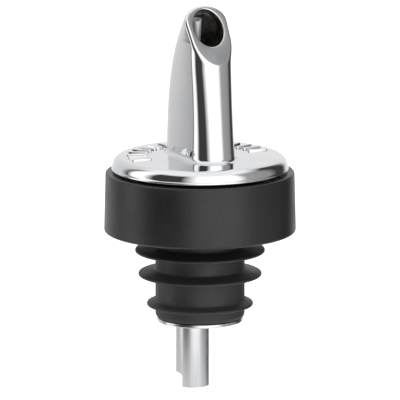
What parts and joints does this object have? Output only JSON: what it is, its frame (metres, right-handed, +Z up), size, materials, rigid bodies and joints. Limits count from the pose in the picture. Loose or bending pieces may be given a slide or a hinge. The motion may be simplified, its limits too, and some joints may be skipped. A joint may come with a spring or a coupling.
{
  "type": "liquor pour spout",
  "caption": "Free-flow bottle pourer: chromed spout with an oblique mouth on a round flange, black collar, finned black stopper, and a notched breather tube below.",
  "frame": {"origin": "on the stopper's axis, in the plane of the collar's underside, which rests on the bottle's lip", "axes": "+Z up the stopper's axis, out of the bottle; +X the way the liquor is poured, the side the mouth faces; +Y to its left"},
  "size_m": [0.0384, 0.0384, 0.0782],
  "materials": {
    "chrome_casting": "polished chrome plate on a zinc casting, satin on the mouth's cut face",
    "tinned_steel": "bright tin plate",
    "satin_aluminium": "satin drawn tube",
    "collar_black": "matte moulded",
    "stopper_rubber": "matte moulded",
    "black_plastic": "matte"
  },
  "bodies": {
    "stopper_set": {"stopper": "stopper_rubber", "collar": "collar_black"},
    "pourer": {"spout": "chrome_casting", "stem": "tinned_steel", "inlet_plate": "tinned_steel", "breather_tube": "satin_aluminium", "tube_reducer": "black_plastic", "air_tube": "tinned_steel"}
  },
  "joints": [
    {"name": "spout_swivel", "type": "hinge", "parent": "stopper_set", "child": "pourer", "pos_m": [0, 0, 0], "axis": [0, 0, 1], "continuous": true}
  ]
}
